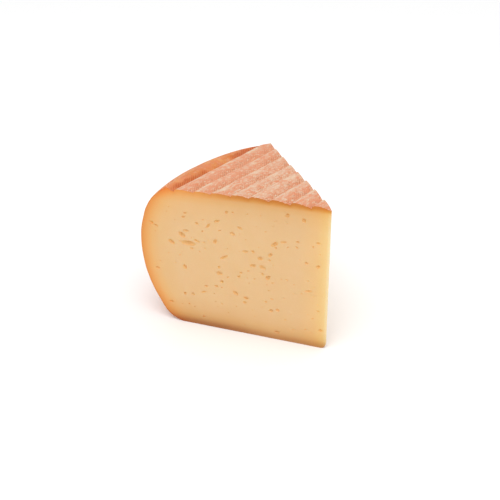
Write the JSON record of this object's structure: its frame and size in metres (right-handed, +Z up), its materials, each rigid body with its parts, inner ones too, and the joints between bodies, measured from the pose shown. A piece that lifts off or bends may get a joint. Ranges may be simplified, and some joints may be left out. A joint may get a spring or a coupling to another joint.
{
  "type": "washed-rind cheese wedge",
  "caption": "Wedge of firm washed-rind cheese cut from a low round wheel, with a ridged orange top rind and small eyes in its pale cut faces.",
  "frame": {"origin": "on the base, under the middle of the wedge's bounding box", "axes": "+Z up; the first cut face looks to -Y; the tip's sharp edge is at +X and the wheel's rim at -X"},
  "size_m": [0.1318, 0.1294, 0.0969],
  "materials": {
    "cheese": "Smooth pale yellow paste with a faint moist sheen on the cut faces, and a matte salmon to orange washed rind on the top, side and base"
  },
  "bodies": {
    "root": {"cheese_wedge": "cheese"}
  },
  "joints": []
}
